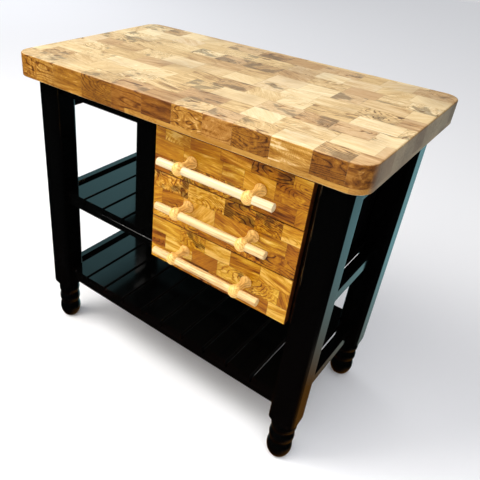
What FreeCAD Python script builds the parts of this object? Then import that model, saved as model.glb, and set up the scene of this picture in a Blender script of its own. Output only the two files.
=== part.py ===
import FreeCAD
import Part
import os
from FreeCAD import Vector

# Kitchen island: butcher-block top on a painted slatted frame, with three drawers.
# Millimetres. +X runs along the top to the drawer end, +Y to the back, +Z up.
# The origin is on the floor, under the middle of the island with its handles.

# Overall sizes
height = 900.0
top_length = 970.0
top_depth = 550.0
top_thickness = 61.0
top_corner_radius = 40.0
top_edge_round = 4.0

# Legs: square posts on turned feet
leg_width = 72.0
leg_edge_round = 13.0
end_overhang = 31.5
side_overhang = 41.5
bulb_height = 58.0
lower_bead_height = 39.0
upper_bead_height = 36.0
bead_diameter = 67.0
groove_diameter = 57.0
foot_base_diameter = 46.0
shoulder_height = 15.0

# Rails, with a tenon at each end
rail_recess = 21.5
rail_thickness = 30.0
end_rail_recess = 23.5
end_rail_thickness = 28.0
rail_edge_chamfer = 1.0
end_rail_chamfer = 4.0
front_rail_height = 46.0
apron_height = 97.0
shelf_rail_height = 21.0
end_rail_height = 38.0
tenon_length = 18.0
tenon_thickness = 14.0
tenon_shoulder = 6.0
tenon_fit = 0.1
blind_spare_depth = 1.0

# Slatted shelves
upper_bay_height = 339.0
bottom_shelf_top = 215.0
slat_thickness = 21.0
slat_count = 10
slat_gap = 8.0
slat_end_gap = 21.5
slat_notch_gap = 1.0

# Drawer case
stile_width = 100.0
front_overlay = 20.0
panel_thickness = 18.0
back_panel_thickness = 12.0
runner_height = 14.0
runner_grip = 7.0
runner_inset = 2.0
runner_end_gap = 20.0

# Drawers
drawer_front_width = 402.0
drawer_front_thickness = 20.0
drawer_front_round = 1.5
right_reveal = 8.5
front_drop = 6.0
front_headroom = 22.0
top_front_height = 111.0
front_gap = 2.0
seat_gap = 0.3
box_lip = 10.0
box_clearance = 4.0
box_side_clearance = 2.0
box_back_clearance = 12.0
box_side_thickness = 15.0
box_back_thickness = 12.0
box_bottom_thickness = 5.0
box_bottom_lip = 3.0
box_bottom_groove = 5.0
runner_clearance = 0.3
groove_front_stop = 15.0

# Handles: a dowel bar through two turned posts, each held by a screw
handle_spacing = 181.0
handle_rise = 4.0
top_handle_rise = -1.5
bar_diameter = 19.0
bar_length = 300.0
bar_end_chamfer = 1.0
bar_standoff = 50.0
bar_fit = 0.1
post_foot_diameter = 26.5
post_rim_diameter = 29.0
post_rim_length = 6.0
post_flare_diameter = 26.0
post_neck_diameter = 18.0
post_neck_place = 0.55
post_collar_diameter = 22.0
post_ball_diameter = 31.0
screw_diameter = 5.0
screw_head_diameter = 8.0
screw_head_thickness = 3.0
screw_bite = 18.0
screw_fit = 0.1

# Cleats that hold the top down
cleat_width = 25.0
cleat_end_gap = 8.0
cleat_screw_count = 3
cleat_screw_bite = 30.0

# Levels and planes that follow from the sizes above
under_top = height - top_thickness
shelf_top = under_top - upper_bay_height
leg_outer_x = top_length / 2 - end_overhang
leg_outer_y = top_depth / 2 - side_overhang
leg_inner_x = leg_outer_x - leg_width
leg_inner_y = leg_outer_y - leg_width
rail_outer_x = leg_outer_x - end_rail_recess
rail_outer_y = leg_outer_y - rail_recess
rail_inner_x = rail_outer_x - end_rail_thickness
rail_inner_y = rail_outer_y - rail_thickness
foot_height = bulb_height + lower_bead_height + upper_bead_height
front_face = -rail_outer_y
case_front = -rail_inner_y
case_back = rail_inner_y
opening_top = under_top - front_rail_height
front_right = leg_inner_x - right_reveal
front_left = front_right - drawer_front_width
opening_left = front_left + front_overlay
opening_right = front_right - front_overlay
box_left = opening_left + box_side_clearance
box_right = opening_right - box_side_clearance
box_front = front_face - seat_gap
box_back = case_back - back_panel_thickness - box_back_clearance
front_plane = box_front - drawer_front_thickness
runner_reach = box_side_clearance + runner_grip
runner_back = case_back - back_panel_thickness - runner_end_gap

# Pieces are laid out about the middle of the top, then moved back by half of
# what the handles reach past its front edge.
handle_tip = front_plane - bar_standoff - post_ball_diameter / 2
frame_shift = Vector(0, -min(handle_tip + top_depth / 2, 0) / 2, 0)


def save(name, shape):
    moved = shape.translated(frame_shift)
    moved.exportStep("parts/" + name + ".step")


def block(xs, ys, zs):
    corner = Vector(min(xs), min(ys), min(zs))
    return Part.makeBox(abs(xs[1] - xs[0]), abs(ys[1] - ys[0]), abs(zs[1] - zs[0]), corner)


def bar(axis, ends, us, vs, chamfer):
    # A straight bar along an axis, with its four long edges chamfered.
    # us and vs are its ranges on the next two axes in the order x, y, z, x, y.
    u0, u1 = sorted(us)
    v0, v1 = sorted(vs)
    c = chamfer
    outline = [(u0 + c, v0), (u1 - c, v0), (u1, v0 + c), (u1, v1 - c),
               (u1 - c, v1), (u0 + c, v1), (u0, v1 - c), (u0, v0 + c)]
    start, stop = sorted(ends)
    points = [place(axis, start, u, v) for u, v in outline]
    face = Part.Face(Part.makePolygon(points + points[:1]))
    return face.extrude(place(axis, stop - start, 0, 0))


def place(axis, along, u, v):
    coords = {"x": (along, u, v), "y": (v, along, u), "z": (u, v, along)}
    return Vector(*coords[axis])


def cylinder(diameter, length, start, direction):
    return Part.makeCylinder(diameter / 2, length, start, direction)


# Countertop
def countertop():
    slab = block((-top_length / 2, top_length / 2), (-top_depth / 2, top_depth / 2), (under_top, height))
    upright = [e for e in slab.Edges if e.BoundBox.ZLength > top_thickness / 2]
    slab = slab.makeFillet(top_corner_radius, upright)
    rims = [e for e in slab.Edges if e.BoundBox.ZLength < top_thickness / 2]
    slab = slab.makeFillet(top_edge_round, rims)
    for side in (-1, 1):
        for start in cleat_screw_points(side):
            depth = cleat_width + cleat_screw_bite + blind_spare_depth
            slab = slab.cut(cylinder(screw_diameter + screw_fit, depth, start, Vector(0, 0, 1)))
    return slab


# Legs
def bead(bottom, tall):
    low = Vector(groove_diameter / 2, 0, bottom)
    mid = Vector(bead_diameter / 2, 0, bottom + tall / 2)
    high = Vector(groove_diameter / 2, 0, bottom + tall)
    return Part.Arc(low, mid, high).toShape()


def leg(side_x, side_y, mortises):
    base = Vector(foot_base_diameter / 2, 0, 0)
    belly = Vector(bead_diameter / 2, 0, bulb_height / 2)
    waist = Vector(groove_diameter / 2, 0, bulb_height)
    neck = Vector(groove_diameter / 2, 0, foot_height)
    half_diagonal = leg_width * 2 ** 0.5 / 2
    shoulder = Vector(half_diagonal, 0, foot_height + shoulder_height)
    shoulder_top = Vector(half_diagonal, 0, under_top)
    centre_top = Vector(0, 0, under_top)
    centre_neck = Vector(0, 0, foot_height)
    edges = [Part.makeLine(Vector(0, 0, 0), base), Part.Arc(base, belly, waist).toShape(),
             bead(bulb_height, lower_bead_height),
             bead(bulb_height + lower_bead_height, upper_bead_height),
             Part.makeLine(neck, centre_neck), Part.makeLine(centre_neck, Vector(0, 0, 0))]
    foot = Part.Face(Part.Wire(edges)).revolve(Vector(0, 0, 0), Vector(0, 0, 1), 360)
    cone_outline = [centre_neck, neck, shoulder, shoulder_top, centre_top, centre_neck]
    cone = Part.Face(Part.makePolygon(cone_outline)).revolve(Vector(0, 0, 0), Vector(0, 0, 1), 360)
    half = leg_width / 2
    post = block((-half, half), (-half, half), (foot_height, under_top))
    upright = [e for e in post.Edges if e.BoundBox.ZLength > leg_width]
    post = post.makeFillet(leg_edge_round, upright)
    whole = post.common(cone).fuse(foot).removeSplitter()
    whole.translate(Vector(side_x * (leg_outer_x - half), side_y * (leg_outer_y - half), 0))
    for cut in mortises:
        whole = whole.cut(cut)
    return whole


# Rails
def tenons_x(side, zs, fit, spare):
    middle = side * (rail_outer_y - rail_thickness / 2)
    half = tenon_thickness / 2 + fit
    low, high = zs[0] + tenon_shoulder - fit, zs[1] - tenon_shoulder + fit
    reach = leg_inner_x + tenon_length + spare
    ys = (middle - half, middle + half)
    return [block((end * leg_inner_x, end * reach), ys, (low, high)) for end in (-1, 1)]


def tenons_y(side, zs, fit, spare):
    middle = side * (rail_outer_x - end_rail_thickness / 2)
    half = tenon_thickness / 2 + fit
    low, high = zs[0] + tenon_shoulder - fit, zs[1] - tenon_shoulder + fit
    reach = leg_inner_y + tenon_length + spare
    xs = (middle - half, middle + half)
    return [block(xs, (end * leg_inner_y, end * reach), (low, high)) for end in (-1, 1)]


def rail_x(side, zs):
    ys = (side * rail_outer_y, side * rail_inner_y)
    body = bar("x", (-leg_inner_x, leg_inner_x), ys, zs, rail_edge_chamfer)
    for tenon in tenons_x(side, zs, 0, 0):
        body = body.fuse(tenon)
    return body


def rail_y(side, zs):
    xs = (side * rail_outer_x, side * rail_inner_x)
    body = bar("y", (-leg_inner_y, leg_inner_y), zs, xs, end_rail_chamfer)
    for tenon in tenons_y(side, zs, 0, 0):
        body = body.fuse(tenon)
    return body


# Slats lie on the front and back rails, level with the end rails.
# The last one is wider and notched round the right legs.
def slats(shelf):
    span = 2 * (rail_inner_x - slat_end_gap)
    width = (span - (slat_count - 1) * slat_gap) / slat_count
    zs = (shelf - slat_thickness, shelf)
    last_right = rail_inner_x - slat_gap
    notch_xs = (leg_inner_x - slat_notch_gap, leg_outer_x)
    boards = []
    for index in range(slat_count):
        left = -span / 2 + index * (width + slat_gap)
        right = left + width if index < slat_count - 1 else last_right
        board = bar("y", (-rail_outer_y, rail_outer_y), zs, (left, right), rail_edge_chamfer)
        for side in (-1, 1):
            notch_ys = (side * (leg_inner_y - slat_notch_gap), side * leg_outer_y)
            board = board.cut(block(notch_xs, notch_ys, zs))
        boards.append(board)
    return Part.makeCompound(boards)


# Cleats under the top, at both ends
def cleat_ys():
    half_length = leg_inner_y - cleat_end_gap
    step = 2 * half_length / cleat_screw_count
    return [-half_length + step * (index + 0.5) for index in range(cleat_screw_count)]


def cleat_screw_points(side):
    x = side * (rail_inner_x - cleat_width / 2)
    return [Vector(x, y, under_top - cleat_width) for y in cleat_ys()]


def cleat(side):
    half_length = leg_inner_y - cleat_end_gap
    body = bar("y", (-half_length, half_length), (under_top - cleat_width, under_top),
               (side * rail_inner_x, side * (rail_inner_x - cleat_width)), rail_edge_chamfer)
    for start in cleat_screw_points(side):
        body = body.cut(cylinder(screw_diameter + screw_fit, cleat_width, start, Vector(0, 0, 1)))
    return body


def screw(start, direction, length):
    # start is where the head's flat underside meets the wood.
    shank = cylinder(screw_diameter, length, start, direction)
    head_start = start - direction * screw_head_thickness
    return shank.fuse(cylinder(screw_head_diameter, screw_head_thickness, head_start, direction))


def cleat_screws():
    length = cleat_width + cleat_screw_bite
    starts = cleat_screw_points(-1) + cleat_screw_points(1)
    return Part.makeCompound([screw(start, Vector(0, 0, 1), length) for start in starts])


# Drawer levels, from the bottom drawer up
def front_levels():
    bottom = shelf_top - slat_thickness - shelf_rail_height - front_drop
    top = under_top - front_headroom
    shared = (top - bottom - top_front_height - 2 * front_gap) / 2
    levels = []
    for tall in (shared, shared, top_front_height):
        levels.append((bottom, bottom + tall))
        bottom += tall + front_gap
    return levels


def box_levels(front):
    low = max(front[0] + box_lip, shelf_top + box_clearance)
    high = min(front[1] - box_lip, opening_top - box_clearance)
    return low, high


def runner_levels(front):
    low, high = box_levels(front)
    middle = (low + high) / 2
    return middle - runner_height / 2, middle + runner_height / 2


def handle_points(front):
    middle = (front_left + front_right) / 2
    rise = top_handle_rise if front == front_levels()[-1] else handle_rise
    z = (front[0] + front[1]) / 2 + rise
    return [Vector(middle + side * handle_spacing / 2, front_plane, z) for side in (-1, 1)]


def drawer_front(front):
    board = block((front_left, front_right), (front_plane, box_front), front)
    rims = [e for e in board.Edges if e.BoundBox.YMax < (front_plane + box_front) / 2]
    board = board.makeFillet(drawer_front_round, rims)
    board = board.cut(box_bottom(front))
    for point in handle_points(front):
        hole = cylinder(screw_diameter + screw_fit, drawer_front_thickness, point, Vector(0, 1, 0))
        board = board.cut(hole)
    return board


def box_bottom(front):
    low = box_levels(front)[0] + box_bottom_lip
    inset = box_side_thickness - box_bottom_groove
    xs = (box_left + inset, box_right - inset)
    return block(xs, (box_front - box_bottom_groove, box_back), (low, low + box_bottom_thickness))


def box_side(front, outer, inner):
    board = block((outer, inner), (box_front, box_back), box_levels(front))
    low, high = runner_levels(front)
    inward = 1 if inner > outer else -1
    depth = inward * (runner_grip + runner_clearance)
    groove = block((outer, outer + depth), (box_front + groove_front_stop, box_back),
                   (low - runner_clearance, high + runner_clearance))
    return board.cut(groove).cut(box_bottom(front))


def box_rear(front):
    low, high = box_levels(front)
    xs = (box_left + box_side_thickness, box_right - box_side_thickness)
    foot = low + box_bottom_lip + box_bottom_thickness
    return block(xs, (box_back - box_back_thickness, box_back), (foot, high))


def runner(front, wall, inward):
    ys = (case_front + runner_inset, runner_back)
    return block((wall, wall + inward * runner_reach), ys, runner_levels(front))


# Handle pieces
def handle_bar(front):
    left, right = handle_points(front)
    middle = (left + right) * 0.5
    start = Vector(middle.x - bar_length / 2, middle.y - bar_standoff, middle.z)
    rod = cylinder(bar_diameter, bar_length, start, Vector(1, 0, 0))
    rings = [e for e in rod.Edges if e.BoundBox.XLength < bar_length / 2]
    return rod.makeChamfer(bar_end_chamfer, rings)


def handle_post(point):
    # Turned about Y: a round-edged disc that flares from a hollow neck, and a ball round the bar.
    ball = post_ball_diameter / 2
    collar = post_collar_diameter / 2
    neck_end = bar_standoff - (ball ** 2 - collar ** 2) ** 0.5
    foot = Vector(post_foot_diameter / 2, 0, 0)
    rim = Vector(post_rim_diameter / 2, -post_rim_length / 2, 0)
    rim_end = Vector(post_flare_diameter / 2, -post_rim_length, 0)
    waist = Vector(post_neck_diameter / 2, -post_rim_length - post_neck_place * (neck_end - post_rim_length), 0)
    ball_start = Vector(collar, -neck_end, 0)
    ball_side = Vector(ball, -bar_standoff, 0)
    tip = Vector(0, -bar_standoff - ball, 0)
    edges = [Part.makeLine(Vector(0, 0, 0), foot), Part.Arc(foot, rim, rim_end).toShape(),
             Part.Arc(rim_end, waist, ball_start).toShape(), Part.Arc(ball_start, ball_side, tip).toShape(),
             Part.makeLine(tip, Vector(0, 0, 0))]
    post = Part.Face(Part.Wire(edges)).revolve(Vector(0, 0, 0), Vector(0, 1, 0), 360)
    eye_start = Vector(-post_ball_diameter, -bar_standoff, 0)
    eye = cylinder(bar_diameter + bar_fit, 2 * post_ball_diameter, eye_start, Vector(1, 0, 0))
    pilot_depth = screw_bite + blind_spare_depth
    pilot = cylinder(screw_diameter + screw_fit, pilot_depth, Vector(0, 0, 0), Vector(0, -1, 0))
    post = post.cut(eye).cut(pilot)
    post.translate(point)
    return post


def handle_screws(front):
    length = drawer_front_thickness + screw_bite
    inside = Vector(0, drawer_front_thickness, 0)
    points = handle_points(front)
    return Part.makeCompound([screw(point + inside, Vector(0, -1, 0), length) for point in points])


# Build and save every piece
os.makedirs("parts", exist_ok=True)

save("countertop", countertop())

front_back_levels = {
    "shelf_rail": (shelf_top - slat_thickness - shelf_rail_height, shelf_top - slat_thickness),
    "bottom_rail": (bottom_shelf_top - slat_thickness - shelf_rail_height, bottom_shelf_top - slat_thickness),
}
end_levels = {
    "top_rail": (under_top - apron_height, under_top),
    "shelf_rail": (shelf_top - end_rail_height, shelf_top),
    "bottom_rail": (bottom_shelf_top - end_rail_height, bottom_shelf_top),
}
long_rails = [("top_rail_front", -1, (opening_top, under_top)),
              ("top_rail_back", 1, (under_top - apron_height, under_top))]
for kind, levels in front_back_levels.items():
    long_rails.append((kind + "_front", -1, levels))
    long_rails.append((kind + "_back", 1, levels))
end_rails = []
for kind, levels in end_levels.items():
    end_rails.append((kind + "_left", -1, levels))
    end_rails.append((kind + "_right", 1, levels))

mortises = []
for name, side, levels in long_rails:
    save(name, rail_x(side, levels))
    mortises += tenons_x(side, levels, tenon_fit, blind_spare_depth)
for name, side, levels in end_rails:
    save(name, rail_y(side, levels))
    mortises += tenons_y(side, levels, tenon_fit, blind_spare_depth)

for side_y, front_or_back in ((-1, "front"), (1, "back")):
    for side_x, left_or_right in ((-1, "left"), (1, "right")):
        save("leg_" + front_or_back + "_" + left_or_right, leg(side_x, side_y, mortises))

save("upper_shelf_slats", slats(shelf_top))
save("bottom_shelf_slats", slats(bottom_shelf_top))

save("top_cleat_left", cleat(-1))
save("top_cleat_right", cleat(1))
save("top_cleat_screws", cleat_screws())

stile_levels = (shelf_top, opening_top)
stile_ys = (front_face, case_front)
left_stile_xs = (opening_left - stile_width, opening_left)
right_stile_xs = (opening_right, leg_inner_x)
save("divider_stile", bar("z", stile_levels, left_stile_xs, stile_ys, rail_edge_chamfer))
save("right_stile", bar("z", stile_levels, right_stile_xs, stile_ys, rail_edge_chamfer))

panel_ys = (case_front, case_back - back_panel_thickness)
panel_levels = (shelf_top, under_top)
save("case_panel_left", block((opening_left - panel_thickness, opening_left), panel_ys, panel_levels))
save("case_panel_right", block((opening_right, opening_right + panel_thickness), panel_ys, panel_levels))
back_panel_ys = (case_back - back_panel_thickness, case_back)
back_panel_xs = (opening_left - panel_thickness, leg_inner_x)
save("case_back_panel", block(back_panel_xs, back_panel_ys, panel_levels))

for label, front in zip(("bottom_drawer", "middle_drawer", "top_drawer"), front_levels()):
    save(label + "_runner_left", runner(front, opening_left, 1))
    save(label + "_runner_right", runner(front, opening_right, -1))
    save(label + "_front", drawer_front(front))
    save(label + "_side_left", box_side(front, box_left, box_left + box_side_thickness))
    save(label + "_side_right", box_side(front, box_right, box_right - box_side_thickness))
    save(label + "_rear", box_rear(front))
    save(label + "_bottom", box_bottom(front))
    save(label + "_handle_bar", handle_bar(front))
    left_point, right_point = handle_points(front)
    save(label + "_handle_post_left", handle_post(left_point))
    save(label + "_handle_post_right", handle_post(right_point))
    save(label + "_handle_screws", handle_screws(front))
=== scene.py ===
import bmesh
import bpy
from math import radians
from mathutils import Matrix, Vector

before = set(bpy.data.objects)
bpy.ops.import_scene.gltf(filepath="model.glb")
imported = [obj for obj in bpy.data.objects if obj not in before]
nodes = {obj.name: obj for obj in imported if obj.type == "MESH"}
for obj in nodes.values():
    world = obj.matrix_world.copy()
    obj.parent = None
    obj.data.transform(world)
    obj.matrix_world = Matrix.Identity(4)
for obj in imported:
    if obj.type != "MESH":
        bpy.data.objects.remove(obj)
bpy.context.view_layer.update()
mm = 0.001
print("frame loaded:", len(nodes), "nodes")


# sRGB hex to the linear colour that sockets take
def linear(hexColour):
    parts = [int(hexColour[i:i + 2], 16) / 255 for i in (1, 3, 5)]
    return [p / 12.92 if p <= 0.04045 else ((p + 0.055) / 1.055) ** 2.4 for p in parts] + [1.0]


# One node with its settings; an input is a value, a hex colour or a socket to link.
# A Mix node's pairs go by number: 2 and 3 are values, 4 and 5 vectors, 6 and 7 colours.
def add(tree, kind, inputs=None, stops=None, **settings):
    made = tree.nodes.new("ShaderNode" + kind)
    for key, value in settings.items():
        setattr(made, key, value)
    for key, value in (inputs or {}).items():
        if isinstance(value, bpy.types.NodeSocket):
            tree.links.new(value, made.inputs[key])
        else:
            made.inputs[key].default_value = linear(value) if isinstance(value, str) else value
    if stops:
        ramp = made.color_ramp.elements
        while len(ramp) < len(stops):
            ramp.new(0.5)
        for element, (position, colour) in zip(ramp, stops):
            element.position = position
            element.color = linear(colour)
    return made


def newMaterial(name):
    material = bpy.data.materials.new(name)
    material.use_nodes = True
    material.node_tree.nodes.clear()
    return material, material.node_tree


def closeMaterial(tree, shader):
    add(tree, "OutputMaterial", {"Surface": shader.outputs["BSDF"]})


# Olive wood, short blocks glued edge to edge, planed and oiled: honey ground, flowing rings, satin sheen
oliveTop = {
    "axes": "XYZ", "faceAxis": "Z", "middle": 885 * mm,    # along, across and through the boards
    "rowWidth": 60 * mm, "rowPhase": 0.5, "blockLength": 87 * mm,
    "layerTop": 852 * mm, "layerFrom": -90 * mm,           # a thin plain board glued under the slab's right
    "layerPlain": 0.75, "layerTone": 0.76,
    "roughness": 0.38, "ior": 1.4,
    "face": [(0.0, "#6E4E34"), (0.2, "#AA8050"), (0.4, "#D0AC74"),
             (0.6, "#E1C28E"), (0.8, "#EBD2A4"), (1.0, "#F5E5C2")],
    # the edge and end ramps hold painted shade, darker than the face; the end's grey is painted cool light
    "edge": [(0.0, "#301602"), (0.25, "#6A3A02"), (0.45, "#8E5806"),
             (0.65, "#A87214"), (0.85, "#CA9A48"), (1.0, "#EDD09A")],
    "end": [(0.0, "#7E6A52"), (0.5, "#947C60"), (1.0, "#B29A7A")],
    "dark": "#54402E", "darkShare": 0.5, "seam": "#8A6A42", "seamShare": 0.3,
    "smoke": "#A8968C", "smokeShare": 0.4, "blush": "#D6BEB2", "blushShare": 0.75,
    "streakSpread": 1.25, "blockSpread": 0.4, "ringSpread": 0.62, "lineSpread": 0.06, "fibreSpread": 0.2,
    "edgeContrast": 1.1, "edgeLift": 0.06, "edgeFigure": 0.2, "edgeRing": 0.5,
}
oliveFronts = {
    "axes": "XZY", "faceAxis": "Y", "middle": -216 * mm,
    "rowWidth": 42.33 * mm, "rowPhase": 0.346, "blockLength": 85 * mm,    # three rows to a drawer
    "layerTop": 0.0, "layerFrom": 9.0, "layerPlain": 0.0, "layerTone": 0.5,    # no board under these
    "roughness": 0.34, "ior": 1.33,                        # thin oil, so little white sheen
    "face": [(0.0, "#3E1602"), (0.2, "#7C4002"), (0.4, "#A46403"),
             (0.6, "#BC8008"), (0.8, "#D4A224"), (1.0, "#EDC86C")],
    # the edge and end ramps hold painted shade, darker than the face
    "edge": [(0.0, "#3A1804"), (0.4, "#7A460A"), (0.7, "#985C10"), (1.0, "#B87A24")],
    "end": [(0.0, "#2C1006"), (0.5, "#54260C"), (1.0, "#7C441A")],
    "dark": "#301404", "darkShare": 0.6, "seam": "#4E2C08", "seamShare": 0.35,
    "smoke": "#A88458", "smokeShare": 0.4, "blush": "#F8D4A0", "blushShare": 0.35,
    "streakSpread": 1.7, "blockSpread": 0.45, "ringSpread": 0.65, "lineSpread": 0.05, "fibreSpread": 0.4,
    "edgeContrast": 1.0, "edgeLift": 0.0, "edgeFigure": 0.0, "edgeRing": 1.0,
}
grain = {
    "length": 80 * mm, "width": 12 * mm,             # one streak's run along and across a straight block
    "burlLength": 26 * mm, "burlWidth": 16 * mm,     # the same in a burl block
    "curl": {"To Min": 0.5, "To Max": 1.8},          # how far streaks bend, from straight blocks to burl
    "lean": 9.0,                                     # how far aslant the grain of the odd block runs
    "ring": 5.5 * mm, "fineRing": 2.6 * mm,          # year rings drawn coarser than real, to show
    "ringBend": 30.0, "ringBendScale": 0.42,         # how far rings wander, and over what share of a ring
    "ringSharpness": 7.0, "quietRing": 0.03,         # power that thins the dark line; its share in quiet wood
    "oval": {"To Min": 0.12, "To Max": 0.6},         # how long-drawn the rings lie along the block
    "heartAlong": 150 * mm, "heartAcross": 90 * mm,  # how far off a block the heart of its tree may lie
    "fibreLength": 80 * mm, "fibreWidth": 3.2 * mm,  # fine straight grain, coarser than real, to show
    "burlFibre": 0.05,                               # what is left of it in a burl block
    "poreLength": 14 * mm, "poreWidth": 1.1 * mm,    # pores drawn coarser than real, to show
    "poreDepth": 0.35, "poreDulls": 0.16,            # how much a pore darkens and dulls
    "smoke": 120 * mm,                               # grey clouds of the heartwood, over several blocks
    "seamWidth": 1.2 * mm, "seamDip": 0.8,           # glue line, drawn coarser than real, to show
    "ground": 0.6, "edgePivot": 0.55,                # middle tone; the tone an edge's contrast turns about
    "streakRoughness": 0.62, "cloudScale": 0.55,     # crispness of streaks; clouds are wider than streaks
    "busyShare": 0.6, "fibreBend": 0.25,             # how much a lively block shows rings; fibre waviness
    "plainest": 0.3, "liveliest": 1.25,              # how strong the streaks are from block to block
    "bump": 0.2, "bumpHeight": 0.4 * mm,
}
turns = {                                            # where one look of the wood gives way to another
    "face": {"From Min": 0.45, "From Max": 0.85},         # edge to broad face, by the way it faces
    "end": {"From Min": 0.88, "From Max": 0.99},          # long edge to end grain
    "burl": {"From Min": 0.6, "From Max": 0.8},           # straight to curled
    "ringed": {"From Min": 0.82, "From Max": 1.08},       # quiet to ringed
    "heartwood": {"From Min": 1.06, "From Max": 1.14},    # ringed to near black
    "blush": {"From Min": 0.5, "From Max": 1.0},          # a block of another tree
    "smoke": {"From Min": 0.5, "From Max": 0.72},
    "pore": {"From Min": 0.3, "From Max": 0.8},
    "depth": {"From Min": -0.15, "From Max": 1.15},       # soft shoulders, so that no tone is cut off
}
draws = {"layer": 40.0, "row": 53.0, "block": 7.0, "uneven": 0.8}    # keep rows and blocks from repeating
waveRing = 0.314                                     # a wave texture's own ring spacing at scale 1


def oliveWood(name, spec):
    material, tree = newMaterial(name)
    place = add(tree, "TexCoord").outputs["Object"]
    parts = add(tree, "SeparateXYZ", {"Vector": place}).outputs
    along, across, through = [parts[axis] for axis in spec["axes"]]

    # rows across, and the thin board under part of the slab
    rowPlace = add(tree, "Math", {0: across, 1: 1 / spec["rowWidth"], 2: spec["rowPhase"]},
                   operation="MULTIPLY_ADD").outputs[0]
    rowIndex = add(tree, "Math", {0: rowPlace}, operation="FLOOR").outputs[0]
    rowPart = add(tree, "Math", {0: rowPlace}, operation="FRACT").outputs[0]
    low = add(tree, "Math", {0: through, 1: spec["layerTop"]}, operation="LESS_THAN").outputs[0]
    past = add(tree, "Math", {0: along, 1: spec["layerFrom"]}, operation="GREATER_THAN").outputs[0]
    layer = add(tree, "Math", {0: low, 1: past}, operation="MULTIPLY").outputs[0]
    rowSeed = add(tree, "Math", {0: layer, 1: draws["layer"], 2: rowIndex},
                  operation="MULTIPLY_ADD").outputs[0]
    rowRandom = add(tree, "TexWhiteNoise", {"W": rowSeed}, noise_dimensions="1D").outputs["Value"]

    # blocks of uneven length along each row, each with its own random draws
    shift = add(tree, "Math", {0: rowRandom, 1: draws["row"]}, operation="MULTIPLY").outputs[0]
    blockPlace = add(tree, "Math", {0: along, 1: 1 / spec["blockLength"], 2: shift},
                     operation="MULTIPLY_ADD").outputs[0]
    spacing = {"W": blockPlace, "Scale": 1.0, "Randomness": draws["uneven"]}
    cell = add(tree, "TexVoronoi", spacing, voronoi_dimensions="1D").outputs
    endGap = add(tree, "TexVoronoi", spacing, voronoi_dimensions="1D",
                 feature="DISTANCE_TO_EDGE").outputs["Distance"]
    block = add(tree, "TexWhiteNoise", {"Vector": cell["Color"], "W": rowSeed},
                noise_dimensions="4D").outputs["Color"]
    tilt, tone, liveliness = add(tree, "SeparateColor", {"Color": block}).outputs
    heart = add(tree, "TexWhiteNoise", {"Vector": block, "W": rowSeed},
                noise_dimensions="4D").outputs["Color"]
    heartParts = add(tree, "SeparateColor", {"Color": heart}).outputs
    heartAlong, heartStretch = heartParts["Red"], heartParts["Blue"]

    # glue lines
    endLine = add(tree, "Math", {0: endGap, 1: spec["blockLength"]}, operation="MULTIPLY").outputs[0]
    rowFar = add(tree, "Math", {0: rowPart, 1: 0.5}, operation="PINGPONG").outputs[0]
    rowLine = add(tree, "Math", {0: rowFar, 1: spec["rowWidth"]}, operation="MULTIPLY").outputs[0]
    nearest = add(tree, "Math", {0: endLine, 1: rowLine}, operation="MINIMUM").outputs[0]
    seam = add(tree, "MapRange", {"Value": nearest, "From Min": 0.0, "From Max": grain["seamWidth"],
                                  "To Min": 1.0, "To Max": 0.0}, interpolation_type="SMOOTHSTEP").outputs[0]

    # each block has its own run of grain, mostly straight and now and then aslant
    lean = add(tree, "Math", {0: tilt, 1: 0.5}, operation="SUBTRACT").outputs[0]
    leanCubed = add(tree, "Math", {0: lean, 1: 3.0}, operation="POWER").outputs[0]
    angle = add(tree, "Math", {0: leanCubed, 1: grain["lean"]}, operation="MULTIPLY").outputs[0]
    run = add(tree, "CombineXYZ", {"X": along, "Y": across, "Z": through}).outputs[0]
    turned = add(tree, "VectorRotate", {"Vector": run, "Angle": angle}, rotation_type="Z_AXIS").outputs[0]
    apart = add(tree, "VectorMath", {0: block, 1: [draws["block"]] * 3, 2: turned},
                operation="MULTIPLY_ADD").outputs[0]

    # which way the surface faces; edges were cut from the livelier boards
    normal = add(tree, "SeparateXYZ", {"Vector": add(tree, "NewGeometry").outputs["Normal"]}).outputs
    flatness, endness = [add(tree, "Math", {0: normal[axis]}, operation="ABSOLUTE").outputs[0]
                         for axis in (spec["faceAxis"], "X")]
    faceShare = add(tree, "MapRange", {"Value": flatness, **turns["face"]}).outputs[0]
    endShare = add(tree, "MapRange", {"Value": endness, **turns["end"]}).outputs[0]
    edgeFigure = add(tree, "MapRange", {"Value": faceShare, "To Min": spec["edgeFigure"],
                                        "To Max": 0.0}).outputs[0]
    figure = add(tree, "Math", {0: liveliness, 1: edgeFigure}, operation="ADD").outputs[0]

    # streaks of tone: long and straight in most blocks, curled in burl blocks
    burlShare = add(tree, "MapRange", {"Value": figure, **turns["burl"]}).outputs[0]
    straight = (1 / grain["length"], 1 / grain["width"], 1 / grain["width"])
    curled = (1 / grain["burlLength"], 1 / grain["burlWidth"], 1 / grain["burlWidth"])
    stretch = add(tree, "Mix", {"Factor": burlShare, 4: straight, 5: curled}, data_type="VECTOR").outputs[1]
    streakPlace = add(tree, "VectorMath", {0: apart, 1: stretch}, operation="MULTIPLY").outputs[0]
    curl = add(tree, "MapRange", {"Value": burlShare, **grain["curl"]}).outputs[0]
    streak = add(tree, "TexNoise", {"Vector": streakPlace, "Scale": 1.0, "Detail": 4.0, "Distortion": curl,
                                    "Roughness": grain["streakRoughness"]}).outputs["Fac"]
    cloud = add(tree, "TexNoise", {"Vector": streakPlace, "Scale": grain["cloudScale"],
                                   "Detail": 2.0}).outputs["Fac"]

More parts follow.
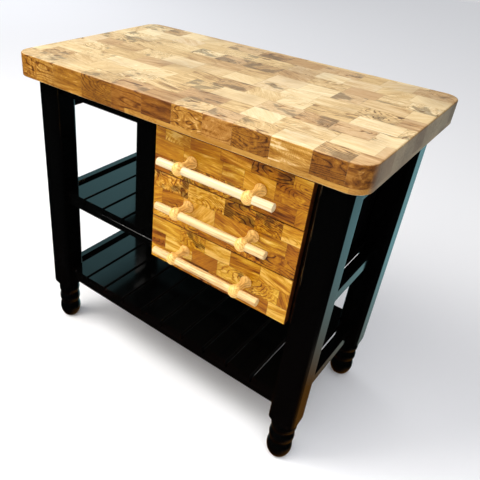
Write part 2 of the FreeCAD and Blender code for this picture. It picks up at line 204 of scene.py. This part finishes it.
    # year rings round the tree's heart, which shows as ovals where it lies inside the block
    fromMiddle = add(tree, "Math", {0: blockPlace, 1: cell["W"]}, operation="SUBTRACT").outputs[0]
    fromRow = add(tree, "Math", {0: rowPart, 1: 0.5}, operation="SUBTRACT").outputs[0]
    alongHere = add(tree, "Math", {0: fromMiddle, 1: spec["blockLength"]}, operation="MULTIPLY").outputs[0]
    acrossHere = add(tree, "Math", {0: fromRow, 1: spec["rowWidth"]}, operation="MULTIPLY").outputs[0]
    throughHere = add(tree, "Math", {0: through, 1: spec["middle"]}, operation="SUBTRACT").outputs[0]
    here = add(tree, "CombineXYZ", {"X": alongHere, "Y": acrossHere, "Z": throughHere}).outputs[0]
    reach = (grain["heartAlong"], grain["heartAcross"], 0.0)
    offset = add(tree, "VectorMath", {0: heart, 1: (0.5, 0.5, 0.5)}, operation="SUBTRACT").outputs[0]
    fromHeart = add(tree, "VectorMath", {0: offset, 1: reach, 2: here}, operation="MULTIPLY_ADD").outputs[0]
    flatten = add(tree, "MapRange", {"Value": heartStretch, **grain["oval"]}).outputs[0]
    oval = add(tree, "CombineXYZ", {"X": flatten, "Y": 1.0, "Z": 1.0}).outputs[0]
    ringPlace = add(tree, "VectorMath", {0: fromHeart, 1: oval}, operation="MULTIPLY").outputs[0]
    ring, fineRing = [add(tree, "TexWave", {"Vector": ringPlace, "Scale": waveRing / width,
                                            "Distortion": grain["ringBend"] * grain["ring"] / width,
                                            "Detail": 2.0, "Detail Roughness": 0.5,
                                            "Detail Scale": grain["ringBendScale"] * width / grain["ring"]},
                          wave_type="RINGS", rings_direction="SPHERICAL").outputs["Fac"]
                      for width in (grain["ring"], grain["fineRing"])]
    dark = add(tree, "Math", {0: 1.0, 1: ring}, operation="SUBTRACT").outputs[0]
    ringLine = add(tree, "Math", {0: dark, 1: grain["ringSharpness"]}, operation="POWER").outputs[0]
    busy = add(tree, "Math", {0: figure, 1: grain["busyShare"], 2: cloud},
               operation="MULTIPLY_ADD").outputs[0]
    ringShare = add(tree, "MapRange", {"Value": busy, **turns["ringed"], "To Min": grain["quietRing"],
                                       "To Max": spec["ringSpread"]}).outputs[0]
    edgeRing = add(tree, "MapRange", {"Value": faceShare, "To Min": spec["edgeRing"],
                                      "To Max": 1.0}).outputs[0]
    ringShown = add(tree, "Math", {0: ringShare, 1: edgeRing}, operation="MULTIPLY").outputs[0]
    ringed = add(tree, "Math", {0: ringLine, 1: ringShown}, operation="MULTIPLY").outputs[0]

    # pores and fine fibres along the grain
    poreScale = (1 / grain["poreLength"], 1 / grain["poreWidth"], 1 / grain["poreWidth"])
    porePlace = add(tree, "VectorMath", {0: apart, 1: poreScale}, operation="MULTIPLY").outputs[0]
    pore = add(tree, "TexNoise", {"Vector": porePlace, "Scale": 1.0, "Detail": 2.0}).outputs["Fac"]
    fibreScale = (1 / grain["fibreLength"], 1 / grain["fibreWidth"], 1 / grain["fibreWidth"])
    fibrePlace = add(tree, "VectorMath", {0: apart, 1: fibreScale}, operation="MULTIPLY").outputs[0]
    fibre = add(tree, "TexNoise", {"Vector": fibrePlace, "Scale": 1.0, "Detail": 3.0,
                                   "Distortion": grain["fibreBend"]}).outputs["Fac"]
    fibreShare = add(tree, "MapRange", {"Value": burlShare, "To Min": spec["fibreSpread"],
                                        "To Max": grain["burlFibre"]}).outputs[0]

    # depth of colour: the middle tone, with each of these added by how far it leaves its own middle
    streakShare = add(tree, "MapRange", {"Value": heartStretch,
                                         "To Min": grain["plainest"] * spec["streakSpread"],
                                         "To Max": grain["liveliest"] * spec["streakSpread"]}).outputs[0]
    depth = grain["ground"]
    for value, share in ((streak, streakShare), (tone, spec["blockSpread"]), (pore, -grain["poreDepth"]),
                         (fibre, fibreShare), (fineRing, spec["lineSpread"])):
        middling = add(tree, "Math", {0: value, 1: 0.5}, operation="SUBTRACT").outputs[0]
        depth = add(tree, "Math", {0: middling, 1: share, 2: depth}, operation="MULTIPLY_ADD").outputs[0]
    depth = add(tree, "Math", {0: depth, 1: ringed}, operation="SUBTRACT").outputs[0]
    depth = add(tree, "MapRange", {"Value": depth, **turns["depth"]},
                interpolation_type="SMOOTHSTEP").outputs[0]

    # broad face, long edges and end grain each take their own tones by the way they face: partly how they
    # take the oil, partly painted shade, the edge and end ramps darker than the face and the slab's end
    # greyer as painted cool light
    plain = add(tree, "Math", {0: layer, 1: spec["layerPlain"]}, operation="MULTIPLY").outputs[0]
    depth = add(tree, "Mix", {"Factor": plain, 2: depth, 3: spec["layerTone"]}).outputs[0]
    edgeBase = 0.5 - grain["edgePivot"] * spec["edgeContrast"] + spec["edgeLift"]
    steep = add(tree, "Math", {0: depth, 1: spec["edgeContrast"], 2: edgeBase},
                operation="MULTIPLY_ADD").outputs[0]
    face, edge, end = [add(tree, "ValToRGB", {"Fac": value}, stops=spec[kind]).outputs["Color"]
                       for kind, value in (("face", depth), ("edge", steep), ("end", depth))]
    sides = add(tree, "Mix", {"Factor": endShare, 6: edge, 7: end}, data_type="RGBA").outputs[2]
    oiledAndShaded = add(tree, "Mix", {"Factor": faceShare, 6: sides, 7: face}, data_type="RGBA").outputs[2]

    # blocks of another tree's hue, grey clouds, a few near-black heartwood patches, and the glue lines
    blushShare = add(tree, "MapRange", {"Value": heartAlong, **turns["blush"], "To Min": 0.0,
                                        "To Max": spec["blushShare"]}).outputs[0]
    blushed = add(tree, "Mix", {"Factor": blushShare, 6: oiledAndShaded, 7: spec["blush"]}, data_type="RGBA",
                  blend_type="MULTIPLY").outputs[2]
    haze = add(tree, "TexNoise", {"Vector": place, "Scale": 1 / grain["smoke"], "Detail": 2.0}).outputs["Fac"]
    smokeShare = add(tree, "MapRange", {"Value": haze, **turns["smoke"], "To Min": 0.0,
                                        "To Max": spec["smokeShare"]}).outputs[0]
    smoked = add(tree, "Mix", {"Factor": smokeShare, 6: blushed, 7: spec["smoke"]}, data_type="RGBA",
                 blend_type="MULTIPLY").outputs[2]
    darkShare = add(tree, "Math", {0: faceShare, 1: spec["darkShare"]}, operation="MULTIPLY").outputs[0]
    heartwood = add(tree, "MapRange", {"Value": busy, **turns["heartwood"], "To Min": 0.0,
                                       "To Max": darkShare}).outputs[0]
    patched = add(tree, "Mix", {"Factor": heartwood, 6: smoked, 7: spec["dark"]}, data_type="RGBA").outputs[2]
    seamShare = add(tree, "Math", {0: seam, 1: spec["seamShare"]}, operation="MULTIPLY").outputs[0]
    seamed = add(tree, "Mix", {"Factor": seamShare, 6: patched, 7: spec["seam"]}, data_type="RGBA").outputs[2]

    # pores are duller than the oiled wood between them, and dip with the glue lines
    gloss = add(tree, "MapRange", {"Value": pore, **turns["pore"], "To Min": spec["roughness"],
                                   "To Max": spec["roughness"] + grain["poreDulls"]}).outputs[0]
    dip = add(tree, "Math", {0: seam, 1: grain["seamDip"], 2: pore}, operation="MULTIPLY_ADD").outputs[0]
    bump = add(tree, "Bump", {"Strength": grain["bump"], "Distance": grain["bumpHeight"], "Height": dip},
               invert=True).outputs[0]
    shader = add(tree, "BsdfPrincipled", {"Base Color": seamed, "Roughness": gloss, "IOR": spec["ior"],
                                          "Normal": bump})
    closeMaterial(tree, shader)
    return material


# Black enamel brushed on hardwood: deep gloss, faint strokes along the piece, low edges rubbed to brown
enamel = {"black": "#030303", "rubbed": "#4A2412", "ior": 1.5,
          "gloss": 0.08, "matt": 0.6, "dull": 0.95, "hazeDulls": 0.05,
          "strokeLength": 160 * mm, "strokeWidth": 3 * mm, "bump": 0.06, "bumpHeight": 0.3 * mm,
          "haze": 60 * mm, "hazeTurn": {"From Min": 0.3, "From Max": 0.7},
          "edgeRadius": 2.5 * mm, "edgeSamples": 6, "edgeTurn": {"From Min": 0.75, "From Max": 0.98},
          "rubLow": 20 * mm, "rubHigh": 300 * mm, "rubTurn": {"From Min": 0.4, "From Max": 0.65}}


def blackEnamel(name, axis, roughness, sides):
    material, tree = newMaterial(name)
    place = add(tree, "TexCoord").outputs["Object"]
    strokes = [1 / (enamel["strokeLength"] if a == axis else enamel["strokeWidth"]) for a in "XYZ"]
    strokePlace = add(tree, "VectorMath", {0: place, 1: strokes}, operation="MULTIPLY").outputs[0]
    stroke = add(tree, "TexNoise", {"Vector": strokePlace, "Scale": 1.0, "Detail": 3.0}).outputs["Fac"]
    haze = add(tree, "TexNoise", {"Vector": place, "Scale": 1 / enamel["haze"], "Detail": 3.0}).outputs["Fac"]

    # edges, found by how far a rounded normal leaves the true one
    rounded = add(tree, "Bevel", {"Radius": enamel["edgeRadius"]}, samples=enamel["edgeSamples"]).outputs[0]
    true = add(tree, "NewGeometry").outputs["Normal"]
    agree = add(tree, "VectorMath", {0: rounded, 1: true}, operation="DOT_PRODUCT").outputs["Value"]
    edge = add(tree, "MapRange", {"Value": agree, **enamel["edgeTurn"],
                                  "To Min": 1.0, "To Max": 0.0}).outputs[0]
    level = add(tree, "SeparateXYZ", {"Vector": place}).outputs["Z"]
    lowness = add(tree, "MapRange", {"Value": level, "From Min": enamel["rubLow"],
                                     "From Max": enamel["rubHigh"], "To Min": 1.0, "To Max": 0.0}).outputs[0]
    spotty = add(tree, "MapRange", {"Value": haze, **enamel["rubTurn"]}).outputs[0]
    lowEdge = add(tree, "Math", {0: edge, 1: lowness}, operation="MULTIPLY").outputs[0]
    rub = add(tree, "Math", {0: lowEdge, 1: spotty}, operation="MULTIPLY").outputs[0]
    colour = add(tree, "Mix", {"Factor": rub, 6: enamel["black"], 7: enamel["rubbed"]},
                 data_type="RGBA").outputs[2]

    # gloss clouded by haze, with a finish of its own on the sides that face left and right
    clouded = add(tree, "MapRange", {"Value": haze, **enamel["hazeTurn"], "To Min": roughness,
                                     "To Max": roughness + enamel["hazeDulls"]}).outputs[0]
    sideways = add(tree, "SeparateXYZ", {"Vector": true}).outputs["X"]
    sideness = add(tree, "Math", {0: sideways}, operation="ABSOLUTE").outputs[0]
    gloss = add(tree, "Mix", {"Factor": sideness, 2: clouded, 3: sides}).outputs[0]
    bump = add(tree, "Bump", {"Strength": enamel["bump"], "Distance": enamel["bumpHeight"],
                              "Height": stroke}).outputs[0]
    shader = add(tree, "BsdfPrincipled", {"Base Color": colour, "Roughness": gloss, "IOR": enamel["ior"],
                                          "Normal": bump})
    closeMaterial(tree, shader)
    return material


# Plain straight-grained woods: a ground, darker year lines and short flecks along one axis
plainWoods = {
    "top_drawer_handle_bar": {"ground": "#EEDCB4", "dark": "#D8BA84", "fleck": "#9A6A34",
                              "fleckShare": 0.2, "lineWidth": 3.2 * mm, "lineLength": 220 * mm,
                              "roughness": 0.36},
    "middle_drawer_handle_bar": {"ground": "#EACE98", "dark": "#D0A660", "fleck": "#7A4416",
                                 "fleckShare": 0.6, "lineWidth": 3.4 * mm, "lineLength": 150 * mm,
                                 "roughness": 0.38},
    "bottom_drawer_handle_bar": {"ground": "#ECCC92", "dark": "#C4924A", "fleck": "#5A2C0C",
                                 "fleckShare": 0.85, "lineWidth": 3.8 * mm, "lineLength": 90 * mm,
                                 "roughness": 0.38},
    "turnedOlive": {"ground": "#FFD27C", "dark": "#C88A34", "fleck": "#6A380C", "fleckShare": 0.25,
                    "lineWidth": 4.2 * mm, "lineLength": 42 * mm, "roughness": 0.27,
                    "layer": (0.6, 0.9, 0.8)},       # which way the year layers lie in a turned post
    "drawerPine": {"ground": "#E9CD9C", "dark": "#CFA468", "fleck": "#9A6B38", "fleckShare": 0.15,
                   "lineWidth": 6 * mm, "lineLength": 420 * mm, "roughness": 0.55},
    "runnerBeech": {"ground": "#D9AE7C", "dark": "#BB8A57", "fleck": "#7E5230", "fleckShare": 0.45,
                    "lineWidth": 2.6 * mm, "lineLength": 150 * mm, "roughness": 0.5},
}
yearLines = {"count": 7.0, "layerBend": 3.0,        # lines over the flow; how far flow bends straight layers
             "flowScale": 0.4, "flowBend": 0.5, "fleckScale": 1.7,
             "line": {"From Min": 0.0, "From Max": 0.4, "To Min": 0.75, "To Max": 0.0},
             "fleck": {"From Min": 0.57, "From Max": 0.72}, "dulling": {"From Min": 0.3, "From Max": 0.7},
             "dulls": 0.12, "ior": 1.5, "bump": 0.15, "bumpHeight": 0.3 * mm}


def plainWood(name, spec, axis):
    material, tree = newMaterial(name)
    place = add(tree, "TexCoord").outputs["Object"]
    stretch = [1 / (spec["lineLength"] if a == axis else spec["lineWidth"]) for a in "XYZ"]
    linePlace = add(tree, "VectorMath", {0: place, 1: stretch}, operation="MULTIPLY").outputs[0]
    flow = add(tree, "TexNoise", {"Vector": linePlace, "Scale": yearLines["flowScale"], "Detail": 3.0,
                                  "Distortion": yearLines["flowBend"]}).outputs["Fac"]
    if "layer" in spec:
        height = add(tree, "VectorMath", {0: linePlace, 1: spec["layer"]},
                     operation="DOT_PRODUCT").outputs["Value"]
        rings = add(tree, "Math", {0: flow, 1: yearLines["layerBend"], 2: height},
                    operation="MULTIPLY_ADD").outputs[0]
    else:
        rings = add(tree, "Math", {0: flow, 1: yearLines["count"]}, operation="MULTIPLY").outputs[0]
    ring = add(tree, "Math", {0: rings, 1: 0.5}, operation="PINGPONG").outputs[0]
    lineShare = add(tree, "MapRange", {"Value": ring, **yearLines["line"]}).outputs[0]
    fleck = add(tree, "TexNoise", {"Vector": linePlace, "Scale": yearLines["fleckScale"],
                                   "Detail": 2.0}).outputs["Fac"]
    fleckShare = add(tree, "MapRange", {"Value": fleck, **yearLines["fleck"], "To Min": 0.0,
                                        "To Max": spec["fleckShare"]}).outputs[0]
    lined = add(tree, "Mix", {"Factor": lineShare, 6: spec["ground"], 7: spec["dark"]},
                data_type="RGBA").outputs[2]
    flecked = add(tree, "Mix", {"Factor": fleckShare, 6: lined, 7: spec["fleck"]},
                  data_type="RGBA").outputs[2]
    gloss = add(tree, "MapRange", {"Value": flow, **yearLines["dulling"], "To Min": spec["roughness"],
                                   "To Max": spec["roughness"] + yearLines["dulls"]}).outputs[0]
    bump = add(tree, "Bump", {"Strength": yearLines["bump"], "Distance": yearLines["bumpHeight"],
                              "Height": fleckShare}, invert=True).outputs[0]
    shader = add(tree, "BsdfPrincipled", {"Base Color": flecked, "Roughness": gloss, "IOR": yearLines["ior"],
                                          "Normal": bump})
    closeMaterial(tree, shader)
    return material


# Zinc-plated steel screws: bright, a little yellowed, with a fine grain from the plating bath
zinc = {"bright": "#C9C7C0", "dull": "#8F8B80", "grit": 1.2 * mm, "roughness": 0.28, "gritDulls": 0.2}


def zincSteel(name):
    material, tree = newMaterial(name)
    place = add(tree, "TexCoord").outputs["Object"]
    grit = add(tree, "TexNoise", {"Vector": place, "Scale": 1 / zinc["grit"], "Detail": 2.0}).outputs["Fac"]
    colour = add(tree, "Mix", {"Factor": grit, 6: zinc["bright"], 7: zinc["dull"]},
                 data_type="RGBA").outputs[2]
    gloss = add(tree, "MapRange", {"Value": grit, "To Min": zinc["roughness"],
                                   "To Max": zinc["roughness"] + zinc["gritDulls"]}).outputs[0]
    shader = add(tree, "BsdfPrincipled", {"Base Color": colour, "Metallic": 1.0, "Roughness": gloss})
    closeMaterial(tree, shader)
    return material


topWood = oliveWood("oiledOliveTop", oliveTop)
frontWood = oliveWood("oiledOliveFronts", oliveFronts)
enamelX, enamelY, enamelZ = [blackEnamel("blackEnamel" + axis, axis, enamel["gloss"], enamel["gloss"])
                             for axis in "XYZ"]
slatEnamel = blackEnamel("slatEnamel", "Y", enamel["gloss"], enamel["dull"])    # thin between the slats
caseBlack = blackEnamel("mattBlackCase", "Z", enamel["matt"], enamel["matt"])
postWood = plainWood("turnedOlive", plainWoods["turnedOlive"], "Y")
boxWoodX, boxWoodY = [plainWood("drawerPine" + axis, plainWoods["drawerPine"], axis) for axis in "XY"]
runnerWood = plainWood("runnerBeech", plainWoods["runnerBeech"], "Y")
screwSteel = zincSteel("zincSteel")
print("materials made")

# Finishes for the CAD pieces, by a part of their names, the first that fits; each dowel is a stick of its own
finishes = [(name, plainWood("paleDowel_" + name.split("_")[0], plainWoods[name], "X"))
            for name in ("top_drawer_handle_bar", "middle_drawer_handle_bar", "bottom_drawer_handle_bar")]
finishes += [("countertop", topWood), ("leg_", enamelZ), ("_rail_left", enamelY), ("_rail_right", enamelY),
             ("_rail_", enamelX), ("slats", slatEnamel), ("_stile", enamelZ), ("case_", caseBlack),
             ("_screws", screwSteel), ("cleat", runnerWood), ("_runner", runnerWood), ("_front", frontWood),
             ("_handle_post", postWood), ("_side_", boxWoodY), ("_bottom", boxWoodY), ("_rear", boxWoodX)]
for name, obj in nodes.items():
    obj.material_slots[0].material = next(material for part, material in finishes if part in name)
print("finishes given")

# Studio: a pale floor, and a room that gloss sees as dim in front and pale behind
studio = {"floorRadius": 9.0, "floorSides": 96, "floorColour": "#FAFAFC", "floorRoughness": 0.8,
          "room": "#F6F7FA", "roomStrength": 0.69,
          "behind": "#9CD6DE", "behindLow": "#744E20", "front": "#0B100F", "frontLow": "#1C0C08",
          "rightward": 0.35, "behindTurn": {"From Min": -0.3, "From Max": 0.4},
          "risingTurn": {"From Min": 0.08, "From Max": 0.03},
          "heightTurn": {"From Min": -0.72, "From Max": -0.5},
          "darkCorner": (0.7, 0.64, -0.32), "cornerTurn": {"From Min": 0.93, "From Max": 0.84}}
# A soft lamp from the left, a warm fill in front, a little skylight on the right, a wash on the floor behind;
# only the lamp shines in dowels and beads
lamps = {
    "lamp": {"place": (-1.7, -1.5, 3.2), "aim": (-0.1, -0.2, 0.3), "size": 2.0, "power": 110.0,
             "colour": "#FFFCF6", "spread": 180, "shines": True},
    "fill": {"place": (-0.6, -3.4, 1.6), "aim": (0.1, 0.0, 0.5), "size": 2.6, "power": 17.0,
             "colour": "#FFE2B4", "spread": 180, "shines": False},
    "skylight": {"place": (0.9, -1.3, 2.6), "aim": (0.9, -1.1, 0.0), "size": 1.6, "power": 9.0,
                 "colour": "#F6F9FF", "spread": 60, "shines": False},
    "wash": {"place": (-5.5, 3.0, 3.0), "aim": (-5.0, 3.0, 0.0), "size": 3.0, "power": 46.0,
             "colour": "#F6F9FF", "spread": 180, "shines": False},
}

floorMesh = bpy.data.meshes.new("floor")
work = bmesh.new()
bmesh.ops.create_circle(work, cap_ends=True, segments=studio["floorSides"], radius=studio["floorRadius"])
work.to_mesh(floorMesh)
work.free()
floor = bpy.data.objects.new("floor", floorMesh)
bpy.context.scene.collection.objects.link(floor)
floorPaint, tree = newMaterial("paleFloor")
shader = add(tree, "BsdfPrincipled", {"Base Color": studio["floorColour"],
                                      "Roughness": studio["floorRoughness"]})
closeMaterial(tree, shader)
floorMesh.materials.append(floorPaint)
floor.visible_glossy = False        # gloss shows the room below, not the floor

for name, spec in lamps.items():
    lightData = bpy.data.lights.new(name, "AREA")
    lightData.size = spec["size"]
    lightData.energy = spec["power"]
    lightData.color = linear(spec["colour"])[:3]
    lightData.spread = radians(spec["spread"])
    light = bpy.data.objects.new(name, lightData)
    bpy.context.scene.collection.objects.link(light)
    light.location = spec["place"]
    light.rotation_euler = (light.location - Vector(spec["aim"])).to_track_quat("Z", "Y").to_euler()
    light.visible_glossy = spec["shines"]

room = bpy.data.worlds.new("room")
room.use_nodes = True
tree = room.node_tree
tree.nodes.clear()
way = add(tree, "TexCoord").outputs["Generated"]
heading = add(tree, "SeparateXYZ", {"Vector": way}).outputs
backward = add(tree, "Math", {0: heading["X"], 1: studio["rightward"], 2: heading["Y"]},
               operation="MULTIPLY_ADD").outputs[0]
backness = add(tree, "MapRange", {"Value": backward, **studio["behindTurn"]}).outputs[0]
slope = add(tree, "Math", {0: heading["X"], 1: heading["Z"]}, operation="ADD").outputs[0]
under = add(tree, "MapRange", {"Value": slope, **studio["risingTurn"]}).outputs[0]
toCorner = add(tree, "VectorMath", {0: way, 1: studio["darkCorner"]},
               operation="DOT_PRODUCT").outputs["Value"]
clear = add(tree, "MapRange", {"Value": toCorner, **studio["cornerTurn"]}).outputs[0]
unhidden = add(tree, "Math", {0: under, 1: clear}, operation="MULTIPLY").outputs[0]
bright = add(tree, "Math", {0: backness, 1: unhidden}, operation="MULTIPLY").outputs[0]
height = add(tree, "MapRange", {"Value": heading["Z"], **studio["heightTurn"]}).outputs[0]
ahead = add(tree, "Mix", {"Factor": height, 6: studio["frontLow"], 7: studio["front"]},
            data_type="RGBA").outputs[2]
astern = add(tree, "Mix", {"Factor": height, 6: studio["behindLow"], 7: studio["behind"]},
             data_type="RGBA").outputs[2]
mirrored = add(tree, "Mix", {"Factor": bright, 6: ahead, 7: astern}, data_type="RGBA").outputs[2]
glossy = add(tree, "LightPath").outputs["Is Glossy Ray"]
seen = add(tree, "Mix", {"Factor": glossy, 6: studio["room"], 7: mirrored}, data_type="RGBA").outputs[2]
power = add(tree, "MapRange", {"Value": glossy, "To Min": studio["roomStrength"], "To Max": 1.0}).outputs[0]
sky = add(tree, "Background", {"Color": seen, "Strength": power})
add(tree, "OutputWorld", {"Surface": sky.outputs["Background"]})
bpy.context.scene.world = room
bpy.context.scene.view_settings.view_transform = "Standard"

# Camera, from the lines of the photograph, which is 480 pixels each way
view = {"place": (0.72573, -1.11641, 1.28176), "azimuth": 37.446, "elevation": 32.317, "roll": 3.64,
        "focalPixels": 537.27, "centre": (173.69, 227.13), "frame": 480, "sensor": 36.0}
cameraData = bpy.data.cameras.new("camera")
cameraData.sensor_width = view["sensor"]
cameraData.lens = view["focalPixels"] / view["frame"] * view["sensor"]
cameraData.shift_x = (view["frame"] / 2 - view["centre"][0]) / view["frame"]
cameraData.shift_y = (view["centre"][1] - view["frame"] / 2) / view["frame"]
camera = bpy.data.objects.new("camera", cameraData)
bpy.context.scene.collection.objects.link(camera)
turn = Matrix.Rotation(radians(view["azimuth"]), 4, "Z")
tip = Matrix.Rotation(radians(90 - view["elevation"]), 4, "X")
twist = Matrix.Rotation(radians(view["roll"]), 4, "Z")
camera.matrix_world = Matrix.Translation(view["place"]) @ turn @ tip @ twist
bpy.context.scene.camera = camera
print("studio and camera set")
